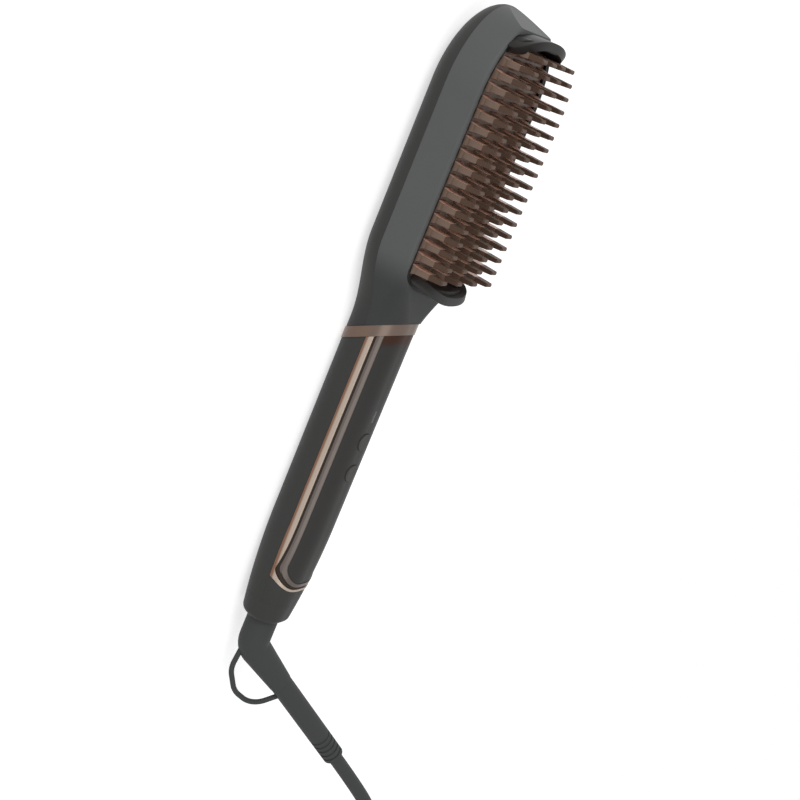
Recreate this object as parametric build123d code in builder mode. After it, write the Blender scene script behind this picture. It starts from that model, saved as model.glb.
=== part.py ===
"""Hair straightening brush with a heated comb plate, a swivel mains cord and a two-button handle.

Millimetres, +Z up. The brush lies on its back, so the teeth point up (+Z), the head points along +Y
and the cord leaves at -Y. The origin is on the surface that the brush rests on, under the middle of
its length from the tip of the head to the end cap.
"""

import os
from math import cos, pi, radians, sin, sqrt, tan

from build123d import *

os.makedirs("parts", exist_ok=True)

# Lengths along the brush
TIP_Y = 143.6
CAP_END_Y = -143.6
STRAIGHT_END_Y = 106.6
NECK_END_Y = 40.6
NECK_START_Y = 0.6
RING_Y = -1.4
TAPER_START_Y = -92.4
CAP_START_Y = -132.6

# Cross-sections
HANDLE_HALF_WIDTH = 15.0
HANDLE_HEIGHT = 26.5
AXIS_Z = HANDLE_HEIGHT / 2
HANDLE_FLAT = 2.0
HEAD_HALF_WIDTH = 29.0
HEAD_TOP_HALF_WIDTH = 28.2
HEAD_FLAT = 9.0
RIM_Z = 28.5
RIM_ROUND = 1.4
LEAST_ROUND = 0.6
WALL = 2.8
END_TAPER = 0.25
TIP_RAKE_DEG = 23.0
NECK_STEPS = 6
TAPER_STEPS = 5

# Accent ring
RING_WIDTH = 5.2
RING_PROUD = 0.35
RING_DEPTH = 1.3
RING_SLANT_DEG = 27.0

# Parting between the back shell and the front pieces
HEAD_PARTING_Z = AXIS_Z
HANDLE_PARTING_Z = AXIS_Z + 2.4

# Front opening of the head, and the bezel and plate that fill it
OPENING_HALF_WIDTH = 25.9
OPENING_LOW_Y = 26.1
OPENING_CORNER = 10.0
LEAST_CORNER = 1.0
OPENING_END_Y = 107.1
OPENING_END_LENGTH = 35.0
OPENING_TIP_Y = 134.6
OPENING_TIP_CORNER = 6.0
FIT_GAP = 0.1
BEZEL_RIM = 1.5
BEZEL_LEDGE = 11.0
BEZEL_TOP_Z = RIM_Z - 0.2
BEZEL_BOTTOM_Z = 20.0
LEDGE_WIDTH = 3.0
LEDGE_THICK = 2.0
PLATE_THICK = 2.0
PLATE_TOP_Z = RIM_Z - 1.5
GUARD_HEIGHT = 9.5
GUARD_THICK = 2.2
GUARD_REACH = 19.0
GUARD_BACK_Y = 117.6
GUARD_FRONT_Y = 33.6

# Teeth
TOOTH_ROWS = 18
TOOTH_PITCH = 5.57
FIRST_ROW_Y = 33.8
TOOTH_COLUMNS = 4
COLUMN_PITCH = 13.8
TOOTH_LENGTH = 7.0
TOOTH_WIDTH = 4.4
ROOT_HEIGHT = 3.0
ROOT_TAPER_DEG = 14.0
ROOT_EDGE_GAP = 0.2
BLADE_LENGTH = 5.8
BLADE_WIDTH = 2.8
BLADE_HEIGHT = 6.5
BLADE_TAPER_DEG = 2.0
TIP_HEIGHT = 6.6
TIP_TAPER_DEG = 3.0
TIP_CHAMFER = 0.55

# Heater stack under the plate
HEATER_LENGTH = 65.0
HEATER_WIDTH = 16.0
HEATER_THICK = 1.8
MICA_THICK = 0.5
CLAMP_THICK = 1.0
CLAMP_WIDTH = 24.0
CLAMP_LENGTH = 78.0
HEATER_Y = 78.1
FUSE_RADIUS = 2.0
FUSE_LENGTH = 11.0
FUSE_Y = 97.6
SENSOR_RADIUS = 1.3
SENSOR_LENGTH = 6.0
SENSOR_Y = 59.6

# Screws
SCREW_RADIUS = 1.4
SCREW_HEAD_RADIUS = 2.7
SCREW_HEAD_HEIGHT = 1.6
SCREW_LENGTH = 14.0
BOSS_RADIUS = 3.4
HEAD_BOSS_X = 19.0
HEAD_BOSS_FOOT_Z = 4.2
HEAD_BOSS_YS = (47.6, 105.6)
BOARD_BOSS_YS = (-20.4, -94.4)

# Copper U frame and panel on the front of the handle
PANEL_DEPTH = 1.4
BEAD_PROUD = 0.3
TRIM_OUTER = 14.8
TRIM_GROOVE_OUTER = 14.1
TRIM_GROOVE_INNER = 13.1
TRIM_INNER = 12.0
TRIM_OUTER_END_Y = -124.4
TRIM_GROOVE_OUTER_END_Y = -123.3
TRIM_GROOVE_INNER_END_Y = -121.9
TRIM_INNER_END_Y = -120.4
GROOVE_DEPTH = 0.9
INLAY_DEPTH = 0.3
TRIM_CORNER = 9.0

# Buttons, board and what is on it
POWER_Y = -63.9
TEMPERATURE_Y = -48.6
BUTTON_RADIUS = 4.0
BUTTON_GAP = 0.08
BUTTON_PROUD = 0.45
BUTTON_FLANGE_RADIUS = 4.7
BUTTON_FLANGE_THICK = 0.9
FLANGE_CLEARANCE = 0.55
BOARD_TOP_Z = 17.5
BOARD_THICK = 1.6
BOARD_WIDTH = 20.0
BOARD_LENGTH = 84.0
BOARD_Y = -57.4
SWITCH_SIZE = 6.0
SWITCH_HEIGHT = 3.5
PLUNGER_RADIUS = 1.0
PLUNGER_BORE_GAP = 0.08
PLUNGER_SINK = 1.4
PLUNGER_BORE_DEPTH = 2.3
LENS_Y = -36.4
LENS_LENGTH = 6.0
LENS_WIDTH = 1.6
LENS_THICK = 1.2
LED_SIZE = 2.0
LED_HEIGHT = 1.1
CAPACITOR_RADIUS = 4.0
CAPACITOR_LENGTH = 12.0
CAPACITOR_Y = -80.4
TRIAC_WIDTH = 9.0
TRIAC_LENGTH = 14.0
TRIAC_THICK = 4.0
TRIAC_Y = -32.4
LEAD_RADIUS = 0.9
LEAD_X = 3.5
LEAD_SLOT = 2.4

# Swivel
STEM_RADIUS = 5.0
STEM_GAP = 0.05
FLANGE_RADIUS = 6.6
FLANGE_THICK = 1.5
CAP_END_WALL = 3.0
RETAINER_THICK = 1.6
INNER_STEM_RADIUS = 3.6
STEM_TOP_Y = -119.6
SLIP_RING_RADIUS = 4.3
SLIP_RING_WIDTH = 2.4
SLIP_RING_YS = (-123.6, -129.6)
BRUSH_THICK = 0.5
BRUSH_WIDTH = 2.0
BLOCK_TOP_Z = 6.6
ELBOW_RADIUS = 7.25
ELBOW_GAP = 0.3
ELBOW_CORNER_Y = -159.9
ELBOW_BEND = 8.0
COLLAR_END = 28.0
CAP_END_ROUND = 3.2
COLLAR_RADIUS = 5.6

# Strain relief and hanging loop. The boot leaves the elbow across the brush and upwards.
BOOT_DIRECTION = Vector(0.6413, -0.6405, 0.4226).normalized()
BOOT_END = 85.3
BOOT_ROOT_RADIUS = 5.35
BOOT_END_RADIUS = 5.2
BOOT_RIBS = 5
BOOT_RIB_PITCH = 3.2
BOOT_RIB_DEPTH = 0.5
BOOT_RIB_WIDTH = 1.2
LOOP_RADIUS = 1.25
LOOP_BEND = 12.0

# Mains cord
CORD_DIAMETER = 7.0
CORD_RADIUS = CORD_DIAMETER / 2
TURN_FILL = 0.45
COIL_RADIUS = 42.0
COIL_CENTRE = (64.5, -404.0)
COIL_LAYERS = 3
COIL_COLUMNS = 2
TIE_WIDTH = 9.0
TIE_THICK = 1.0
PLUG_LENGTH = 37.0
PLUG_WIDTH = 35.0
PLUG_HEIGHT = 13.6
PLUG_NOSE = 9.0
PIN_RADIUS = 2.0
PIN_LENGTH = 19.0
PIN_SPACING = 18.6


def ease(t):
    """Smooth step from 0 to 1."""
    return t * t * (3 - 2 * t)


def plane_at(y):
    """Plane across the brush at y: its own x is X and its own y is Z."""
    return Plane.XZ.offset(-y)


def neck_sizes(step):
    """Half width, back flat, top height, top half width and top corner at 0 (handle) to 1 (head)."""
    half_width = HANDLE_HALF_WIDTH + step * (HEAD_HALF_WIDTH - HANDLE_HALF_WIDTH)
    back_flat = HANDLE_FLAT + step * (HEAD_FLAT - HANDLE_FLAT)
    top = HANDLE_HEIGHT + step * (RIM_Z - HANDLE_HEIGHT)
    top_half_width = HANDLE_HALF_WIDTH + step * (HEAD_TOP_HALF_WIDTH - HANDLE_HALF_WIDTH)
    corner = (HANDLE_HALF_WIDTH - HANDLE_FLAT) + step * (RIM_ROUND - HANDLE_HALF_WIDTH + HANDLE_FLAT)
    return half_width, back_flat, top, top_half_width, corner


def section_face(step, inset, size=1.0):
    """Whole cross-section: flat back, elliptical sides, upright walls and a rounded front."""
    half_width, back_flat, top, top_half_width, corner = neck_sizes(step)
    side = (half_width - inset) * size
    flat = back_flat * size
    low = AXIS_Z - (AXIS_Z - inset) * size
    high = AXIS_Z + (top - inset - AXIS_Z) * size
    side_top = (top_half_width - inset) * size
    corner_x = max(corner - inset, LEAST_ROUND) * size
    corner_z = min(corner_x, high - AXIS_Z - 0.3 * size)
    with BuildSketch() as outline:
        with BuildLine():
            Line((-flat, low), (flat, low))
            EllipticalCenterArc((flat, AXIS_Z), side - flat, AXIS_Z - low, 270)
            Line((side, AXIS_Z), (side_top, high - corner_z))
            EllipticalCenterArc((side_top - corner_x, high - corner_z), corner_x, corner_z, 0)
            Line((side_top - corner_x, high), (corner_x - side_top, high))
            EllipticalCenterArc((corner_x - side_top, high - corner_z), corner_x, corner_z, 90)
            Line((-side_top, high - corner_z), (-side, AXIS_Z))
            EllipticalCenterArc((-flat, AXIS_Z), side - flat, AXIS_Z - low, 180)
        make_face()
    return outline.sketch


def half_section_face(inset):
    """Right half of the head's section, for the rounded tip."""
    side = HEAD_HALF_WIDTH - inset
    side_top = HEAD_TOP_HALF_WIDTH - inset
    high = RIM_Z - inset
    corner = max(RIM_ROUND - inset, LEAST_ROUND)
    with BuildSketch() as outline:
        with BuildLine():
            Line((0, inset), (HEAD_FLAT, inset))
            EllipticalCenterArc((HEAD_FLAT, AXIS_Z), side - HEAD_FLAT, AXIS_Z - inset, 270)
            Line((side, AXIS_Z), (side_top, high - corner))
            EllipticalCenterArc((side_top - corner, high - corner), corner, corner, 0)
            Line((side_top - corner, high), (0, high))
            Line((0, high), (0, inset))
        make_face()
    return outline.sketch


def handle_form(inset, end_y=CAP_END_Y):
    """Handle from its end to beyond the accent ring, drawn in by inset."""
    with BuildPart() as form:
        with BuildSketch(plane_at(RING_Y + HANDLE_HALF_WIDTH)):
            add(section_face(0, inset))
        extrude(amount=RING_Y + HANDLE_HALF_WIDTH - TAPER_START_Y)
        for number in range(TAPER_STEPS + 1):
            share = number / TAPER_STEPS
            along = share * (TAPER_START_Y - end_y) / (TAPER_START_Y - CAP_END_Y)
            with BuildSketch(plane_at(TAPER_START_Y - share * (TAPER_START_Y - end_y))):
                add(section_face(0, inset, 1 - END_TAPER * along**2))
        loft()
    return form.part


def head_form(inset):
    """Neck and head from below the accent ring to the raked tip, drawn in by inset."""
    with BuildPart() as tip:
        with BuildSketch(Plane.XZ):
            add(half_section_face(inset))
        revolve(axis=Axis.Z, revolution_arc=180)
    tip_stretch = (TIP_Y - STRAIGHT_END_Y - inset) / (HEAD_HALF_WIDTH - inset)
    wide_tip = scale(tip.part, by=(1, tip_stretch, 1), mode=Mode.PRIVATE)
    stretched_tip = Pos(0, STRAIGHT_END_Y, 0) * wide_tip
    rake = Vector(0, cos(radians(TIP_RAKE_DEG)), sin(radians(TIP_RAKE_DEG)))
    with BuildPart() as form:
        with BuildSketch(plane_at(NECK_START_Y)):
            add(section_face(0, inset))
        extrude(amount=NECK_START_Y - RING_Y + HANDLE_HALF_WIDTH)
        for number in range(NECK_STEPS + 1):
            share = number / NECK_STEPS
            with BuildSketch(plane_at(NECK_START_Y + share * (NECK_END_Y - NECK_START_Y))):
                add(section_face(ease(share), inset))
        loft()
        with BuildSketch(plane_at(STRAIGHT_END_Y)):
            add(section_face(1, inset))
        extrude(amount=STRAIGHT_END_Y - NECK_END_Y)
        add(stretched_tip)
        rake_origin = Vector(0, TIP_Y, AXIS_Z) - rake * inset
        split(bisect_by=Plane(origin=rake_origin, z_dir=rake), keep=Keep.BOTTOM)
    return form.part


def ring_plane(shift):
    """Plane of the slanted accent ring, moved along the brush by shift."""
    slant = radians(RING_SLANT_DEG)
    return Plane(origin=(0, RING_Y + shift, AXIS_Z), z_dir=(0, cos(slant), -sin(slant)))


def opening_face(inset):
    """Outline of the head's front opening, square-shouldered at the neck and blunt at the tip."""
    side = OPENING_HALF_WIDTH - inset
    low = OPENING_LOW_Y + inset
    tip = OPENING_TIP_Y - inset
    low_corner = max(OPENING_CORNER - inset, LEAST_CORNER)
    tip_corner = max(OPENING_TIP_CORNER - inset, LEAST_CORNER)
    with BuildSketch() as outline:
        with Locations((0, OPENING_END_Y)):
            Ellipse(side, OPENING_END_LENGTH - inset)
        with Locations((0, (low + OPENING_END_Y) / 2)):
            Rectangle(2 * side, OPENING_END_Y - low)
        with Locations((0, (low + tip) / 2)):
            Rectangle(2 * side, tip - low, mode=Mode.INTERSECT)
        fillet(outline.vertices().group_by(Axis.Y)[0], radius=low_corner)
        fillet(outline.vertices().group_by(Axis.Y)[-1], radius=tip_corner)
    return outline.sketch


def panel_face(half_width, end_y):
    """Front-view outline of the U frame: straight sides and a round-cornered lower end."""
    top_y = RING_Y + HANDLE_HALF_WIDTH
    with BuildSketch() as outline:
        with BuildLine():
            FilletPolyline(
                (half_width, top_y), (half_width, end_y), (-half_width, end_y), (-half_width, top_y),
                radius=TRIM_CORNER,
            )
            Line((-half_width, top_y), (half_width, top_y))
        make_face()
    return outline.sketch


def band(outer_half_width, outer_end_y, inner_half_width, inner_end_y):
    """Upright prism between two U outlines."""
    with BuildPart() as prism:
        with BuildSketch(Plane.XY.offset(HANDLE_PARTING_Z)):
            add(panel_face(outer_half_width, outer_end_y))
        extrude(amount=HANDLE_HEIGHT)
        with BuildSketch(Plane.XY.offset(HANDLE_PARTING_Z)):
            add(panel_face(inner_half_width, inner_end_y))
        extrude(amount=HANDLE_HEIGHT, mode=Mode.SUBTRACT)
    return prism.part


def save(piece, name):
    """Label a finished piece and write it."""
    piece.part.label = name
    export_step(piece.part, f"parts/{name}.step")


head_outside = head_form(0)
head_cavity = head_form(WALL)
handle_outside = handle_form(0)
handle_cavity = handle_form(WALL)
panel_floor = handle_form(PANEL_DEPTH)

# Accent ring: a slanted copper band that sits in a groove round the neck
with BuildPart() as accent_ring:
    add(handle_form(-RING_PROUD))
    add(handle_form(RING_DEPTH), mode=Mode.SUBTRACT)
    split(bisect_by=ring_plane(-RING_WIDTH / 2), keep=Keep.TOP)
    split(bisect_by=ring_plane(RING_WIDTH / 2), keep=Keep.BOTTOM)
    split(bisect_by=Plane.XY, keep=Keep.TOP)
save(accent_ring, "accent_ring")

# Screw bosses of the back shell
head_boss_top = PLATE_TOP_Z - PLATE_THICK - LEDGE_THICK
board_bottom_z = BOARD_TOP_Z - BOARD_THICK

# Back shell: one moulding from the head's back through the neck to the end of the handle
with BuildPart() as head_back:
    add(head_outside)
    split(bisect_by=Plane.XY.offset(HEAD_PARTING_Z), keep=Keep.BOTTOM)
    split(bisect_by=ring_plane(0), keep=Keep.TOP)
with BuildPart() as rear_shell:
    add(handle_outside)
    split(bisect_by=Plane.XY.offset(HANDLE_PARTING_Z), keep=Keep.BOTTOM)
    split(bisect_by=ring_plane(0), keep=Keep.BOTTOM)
    split(bisect_by=plane_at(CAP_START_Y), keep=Keep.BOTTOM)
    add(head_back.part)
    add(head_cavity, mode=Mode.SUBTRACT)
    add(handle_cavity, mode=Mode.SUBTRACT)
    with BuildSketch(Plane.XY.offset(HEAD_BOSS_FOOT_Z)):
        with Locations([(x, y) for x in (-HEAD_BOSS_X, HEAD_BOSS_X) for y in HEAD_BOSS_YS]):
            Circle(BOSS_RADIUS)
    extrude(amount=head_boss_top - HEAD_BOSS_FOOT_Z)
    with BuildSketch(Plane.XY.offset(WALL / 2)):
        with Locations([(0, y) for y in BOARD_BOSS_YS]):
            Circle(BOSS_RADIUS)
    extrude(amount=board_bottom_z - WALL / 2)
    with BuildSketch(Plane.XY.offset(head_boss_top)):
        with Locations([(x, y) for x in (-HEAD_BOSS_X, HEAD_BOSS_X) for y in HEAD_BOSS_YS]):
            Circle(SCREW_RADIUS)
    extrude(amount=-SCREW_LENGTH, mode=Mode.SUBTRACT)
    with BuildSketch(Plane.XY.offset(board_bottom_z)):
        with Locations([(0, y) for y in BOARD_BOSS_YS]):
            Circle(SCREW_RADIUS)
    extrude(amount=-SCREW_LENGTH / 2, mode=Mode.SUBTRACT)
    add(accent_ring.part, mode=Mode.SUBTRACT)
save(rear_shell, "rear_shell")

# Front housing: the head's side walls, its rim and the front of the neck
with BuildPart() as rim_ledge:
    with BuildSketch(Plane.XY.offset(BEZEL_BOTTOM_Z - LEDGE_THICK)):
        add(opening_face(-LEDGE_WIDTH))
        add(opening_face(LEDGE_WIDTH), mode=Mode.SUBTRACT)
    extrude(amount=LEDGE_THICK)
    add(head_form(WALL / 2), mode=Mode.INTERSECT)
with BuildPart() as front_housing:
    add(head_outside)
    split(bisect_by=Plane.XY.offset(HEAD_PARTING_Z), keep=Keep.TOP)
    split(bisect_by=ring_plane(RING_WIDTH / 2), keep=Keep.TOP)
    add(head_cavity, mode=Mode.SUBTRACT)
    with BuildSketch(Plane.XY.offset(BEZEL_BOTTOM_Z)):
        add(opening_face(-FIT_GAP))
    extrude(amount=RIM_Z, mode=Mode.SUBTRACT)
    add(rim_ledge.part)
save(front_housing, "front_housing")

# Bezel: the black frame round the plate, with a guard crest at each end and a ledge for the plate
with BuildPart() as guard_zone:
    for end_y in (OPENING_TIP_Y, GUARD_FRONT_Y):
        with BuildSketch(plane_at(end_y)):
            with Locations((0, BEZEL_TOP_Z)):
                Ellipse(GUARD_REACH, GUARD_HEIGHT)
        extrude(amount=OPENING_TIP_Y - GUARD_BACK_Y)
with BuildPart() as guard_crests:
    with BuildSketch(Plane.XY.offset(PLATE_TOP_Z)):
        add(opening_face(FIT_GAP))
        add(opening_face(GUARD_THICK), mode=Mode.SUBTRACT)
    extrude(amount=RIM_Z + GUARD_HEIGHT - PLATE_TOP_Z)
    add(guard_zone.part, mode=Mode.INTERSECT)
with BuildPart() as plate_bezel:
    with BuildSketch(Plane.XY.offset(BEZEL_BOTTOM_Z)):
        add(opening_face(0))
        add(opening_face(BEZEL_RIM), mode=Mode.SUBTRACT)
    extrude(amount=BEZEL_TOP_Z - BEZEL_BOTTOM_Z)
    with BuildSketch(Plane.XY.offset(head_boss_top)):
        add(opening_face(BEZEL_RIM / 2))
        add(opening_face(BEZEL_LEDGE), mode=Mode.SUBTRACT)
    extrude(amount=LEDGE_THICK)
    add(guard_crests.part)
    with BuildSketch(Plane.XY.offset(head_boss_top + LEDGE_THICK)):
        with Locations([(x, y) for x in (-HEAD_BOSS_X, HEAD_BOSS_X) for y in HEAD_BOSS_YS]):
            Circle(SCREW_HEAD_RADIUS)
    extrude(amount=-SCREW_HEAD_HEIGHT, mode=Mode.SUBTRACT)
    with BuildSketch(Plane.XY.offset(head_boss_top)):
        with Locations([(x, y) for x in (-HEAD_BOSS_X, HEAD_BOSS_X) for y in HEAD_BOSS_YS]):
            Circle(SCREW_RADIUS)
    extrude(amount=LEDGE_THICK, mode=Mode.SUBTRACT)
    with BuildSketch(Plane.XY.offset(head_boss_top + LEDGE_THICK)):
        with Locations((0, OPENING_LOW_Y + BEZEL_LEDGE / 2)):
            with GridLocations(2 * LEAD_X, 0, 2, 1):
                Rectangle(LEAD_SLOT, 2 * BEZEL_LEDGE)
    extrude(amount=BEZEL_BOTTOM_Z - head_boss_top - LEDGE_THICK, mode=Mode.SUBTRACT)
save(plate_bezel, "plate_bezel")

# Screws that hold the bezel to the back shell, sunk flush under the plate
with BuildPart() as head_screws:
    with BuildSketch(Plane.XY.offset(head_boss_top + LEDGE_THICK)):
        with Locations([(x, y) for x in (-HEAD_BOSS_X, HEAD_BOSS_X) for y in HEAD_BOSS_YS]):
            Circle(SCREW_HEAD_RADIUS)
    extrude(amount=-SCREW_HEAD_HEIGHT)
    with BuildSketch(Plane.XY.offset(head_boss_top + LEDGE_THICK)):
        with Locations([(x, y) for x in (-HEAD_BOSS_X, HEAD_BOSS_X) for y in HEAD_BOSS_YS]):
            Circle(SCREW_RADIUS)
    extrude(amount=-SCREW_LENGTH)
save(head_screws, "head_screws")

# Heating plate with its cast teeth: a flared root and a slim blade each, set across the brush
outer_column_x = COLUMN_PITCH * (TOOTH_COLUMNS - 1) / 2


def row_reach(y):
    """How far out the row at y may have its outer teeth, less where the plate narrows to the tip."""
    inset = BEZEL_RIM + ROOT_EDGE_GAP
    beyond = max(y + TOOTH_WIDTH / 2 - OPENING_END_Y, 0) / (OPENING_END_LENGTH - inset)
    room = (OPENING_HALF_WIDTH - inset) * sqrt(1 - beyond**2)
    return min(outer_column_x, room - TOOTH_LENGTH / 2)


def tooth_grid():
    """Places of all the teeth on the plate, row by row from the neck to the tip."""
    row_ys = [FIRST_ROW_Y + row * TOOTH_PITCH for row in range(TOOTH_ROWS)]
    shares = [2 * column / (TOOTH_COLUMNS - 1) - 1 for column in range(TOOTH_COLUMNS)]
    return [(share * row_reach(y), y) for y in row_ys for share in shares]


blade_base_z = PLATE_TOP_Z + ROOT_HEIGHT
tip_base_z = blade_base_z + BLADE_HEIGHT
with BuildPart() as heating_plate:
    with BuildSketch(Plane.XY.offset(PLATE_TOP_Z - PLATE_THICK)):
        add(opening_face(BEZEL_RIM + FIT_GAP))
    extrude(amount=PLATE_THICK)
    add(guard_crests.part, mode=Mode.SUBTRACT)
    with BuildSketch(Plane.XY.offset(PLATE_TOP_Z)):
        with Locations(tooth_grid()):
            Rectangle(TOOTH_LENGTH, TOOTH_WIDTH)
    extrude(amount=ROOT_HEIGHT, taper=ROOT_TAPER_DEG)
    with BuildSketch(Plane.XY.offset(blade_base_z)):
        with Locations(tooth_grid()):
            Rectangle(BLADE_LENGTH, BLADE_WIDTH)
    extrude(amount=BLADE_HEIGHT, taper=BLADE_TAPER_DEG)
save(heating_plate, "heating_plate")

# Cool tips: a cap on every blade, so that the skin never meets the hot teeth
blade_shrink = 2 * BLADE_HEIGHT * tan(radians(BLADE_TAPER_DEG))
with BuildPart() as cool_tips:
    with BuildSketch(Plane.XY.offset(tip_base_z)):
        with Locations(tooth_grid()):
            Rectangle(BLADE_LENGTH - blade_shrink, BLADE_WIDTH - blade_shrink)
    extrude(amount=TIP_HEIGHT, taper=TIP_TAPER_DEG)
    chamfer(cool_tips.faces().group_by(Axis.Z)[-1].edges(), length=TIP_CHAMFER)
save(cool_tips, "cool_tips")

# Heater stack: element, mica sheet and clamp against the underside of the plate
heater_top_z = PLATE_TOP_Z - PLATE_THICK
with BuildPart() as heater_element:
    with BuildSketch(Plane.XY.offset(heater_top_z)):
        with Locations((0, HEATER_Y)):
            RectangleRounded(HEATER_WIDTH, HEATER_LENGTH, 1.5)
    extrude(amount=-HEATER_THICK)
save(heater_element, "heater_element")

mica_top_z = heater_top_z - HEATER_THICK
with BuildPart() as insulation_sheet:
    with BuildSketch(Plane.XY.offset(mica_top_z)):
        with Locations((0, HEATER_Y)):
            Rectangle(HEATER_WIDTH + 3, HEATER_LENGTH + 4)
    extrude(amount=-MICA_THICK)
save(insulation_sheet, "insulation_sheet")

clamp_top_z = mica_top_z - MICA_THICK
with BuildPart() as heater_clamp:
    with BuildSketch(Plane.XY.offset(clamp_top_z)):
        with Locations((0, HEATER_Y)):
            RectangleRounded(CLAMP_WIDTH, CLAMP_LENGTH, 3)
            with GridLocations(0, CLAMP_LENGTH / 4, 1, 3):
                SlotOverall(CLAMP_WIDTH / 2, 3, mode=Mode.SUBTRACT)
    extrude(amount=-CLAMP_THICK)
    with BuildSketch(Plane.XY.offset(clamp_top_z - CLAMP_THICK)):
        with Locations((0, HEATER_Y)):
            with GridLocations(0, CLAMP_LENGTH - 5, 1, 2):
                Rectangle(CLAMP_WIDTH, 3)
    extrude(amount=heater_top_z - clamp_top_z + CLAMP_THICK)
    with BuildSketch(Plane.XY.offset(heater_top_z)):
        with Locations((0, HEATER_Y - CLAMP_LENGTH / 2)):
            with GridLocations(2 * LEAD_X, 0, 2, 1):
                Rectangle(LEAD_SLOT, LEAD_SLOT * 4)
    extrude(amount=-CLAMP_THICK - HEATER_THICK - MICA_THICK, mode=Mode.SUBTRACT)
save(heater_clamp, "heater_clamp")

clamp_bottom_z = clamp_top_z - CLAMP_THICK
with BuildPart() as thermal_fuse:
    with BuildSketch(plane_at(FUSE_Y + FUSE_LENGTH / 2)):
        with Locations((4.0, clamp_bottom_z - FUSE_RADIUS)):
            Circle(FUSE_RADIUS)
    extrude(amount=FUSE_LENGTH)
save(thermal_fuse, "thermal_fuse")

with BuildPart() as temperature_sensor:
    with BuildSketch(plane_at(SENSOR_Y + SENSOR_LENGTH / 2)):
        with Locations((-4.0, clamp_bottom_z - SENSOR_RADIUS)):
            Circle(SENSOR_RADIUS)
    extrude(amount=SENSOR_LENGTH)
    fillet(temperature_sensor.edges().filter_by(GeomType.CIRCLE), radius=SENSOR_RADIUS * 0.6)
save(temperature_sensor, "temperature_sensor")

# Front shell of the handle, with a recess for the frame and the panel
button_ys = (TEMPERATURE_Y, POWER_Y)
with BuildPart() as panel_skin:
    add(handle_form(-BUTTON_PROUD))
    add(panel_floor, mode=Mode.SUBTRACT)
with BuildPart() as recess_prism:
    with BuildSketch(Plane.XY.offset(HANDLE_PARTING_Z)):
        add(panel_face(TRIM_OUTER, TRIM_OUTER_END_Y))
    extrude(amount=HANDLE_HEIGHT)
with BuildPart() as handle_front_shell:
    add(handle_outside)
    split(bisect_by=Plane.XY.offset(HANDLE_PARTING_Z), keep=Keep.TOP)
    split(bisect_by=ring_plane(-RING_WIDTH / 2), keep=Keep.BOTTOM)
    split(bisect_by=plane_at(CAP_START_Y), keep=Keep.BOTTOM)
    add(handle_cavity, mode=Mode.SUBTRACT)
    add(panel_skin.part & recess_prism.part, mode=Mode.SUBTRACT)
    with BuildSketch(Plane.XY.offset(BOARD_TOP_Z)):
        with Locations([(0, y) for y in button_ys]):
            Circle(BUTTON_RADIUS + BUTTON_GAP)
        with Locations((0, LENS_Y)):
            SlotOverall(LENS_LENGTH, LENS_WIDTH, rotation=90)
    extrude(amount=HANDLE_HEIGHT, mode=Mode.SUBTRACT)
save(handle_front_shell, "handle_front_shell")

# U-shaped copper frame: two raised beads with a groove between them
with BuildPart() as trim_frame:
    add(handle_form(-BEAD_PROUD))
    add(panel_floor, mode=Mode.SUBTRACT)
    add(band(TRIM_OUTER, TRIM_OUTER_END_Y, TRIM_INNER, TRIM_INNER_END_Y), mode=Mode.INTERSECT)
    split(bisect_by=ring_plane(-RING_WIDTH / 2), keep=Keep.BOTTOM)
    groove = band(TRIM_GROOVE_OUTER, TRIM_GROOVE_OUTER_END_Y, TRIM_GROOVE_INNER, TRIM_GROOVE_INNER_END_Y)
    add(groove - handle_form(GROOVE_DEPTH), mode=Mode.SUBTRACT)
save(trim_frame, "trim_frame")

with BuildPart() as trim_inlay:
    add(handle_form(INLAY_DEPTH))
    add(handle_form(GROOVE_DEPTH), mode=Mode.SUBTRACT)
    add(groove, mode=Mode.INTERSECT)
    split(bisect_by=ring_plane(-RING_WIDTH / 2), keep=Keep.BOTTOM)
save(trim_inlay, "trim_inlay")

# Control panel inside the frame
with BuildPart() as panel_prism:
    with BuildSketch(Plane.XY.offset(HANDLE_PARTING_Z)):
        add(panel_face(TRIM_INNER - FIT_GAP / 2, TRIM_INNER_END_Y + FIT_GAP / 2))
    extrude(amount=HANDLE_HEIGHT)
with BuildPart() as control_panel:
    add(handle_outside)
    add(panel_floor, mode=Mode.SUBTRACT)
    add(panel_prism.part, mode=Mode.INTERSECT)
    split(bisect_by=ring_plane(-RING_WIDTH / 2), keep=Keep.BOTTOM)
    with BuildSketch(Plane.XY.offset(BOARD_TOP_Z)):
        with Locations([(0, y) for y in button_ys]):
            Circle(BUTTON_RADIUS + BUTTON_GAP)
        with Locations((0, LENS_Y)):
            SlotOverall(LENS_LENGTH, LENS_WIDTH, rotation=90)
    extrude(amount=HANDLE_HEIGHT, mode=Mode.SUBTRACT)
save(control_panel, "control_panel")

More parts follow.
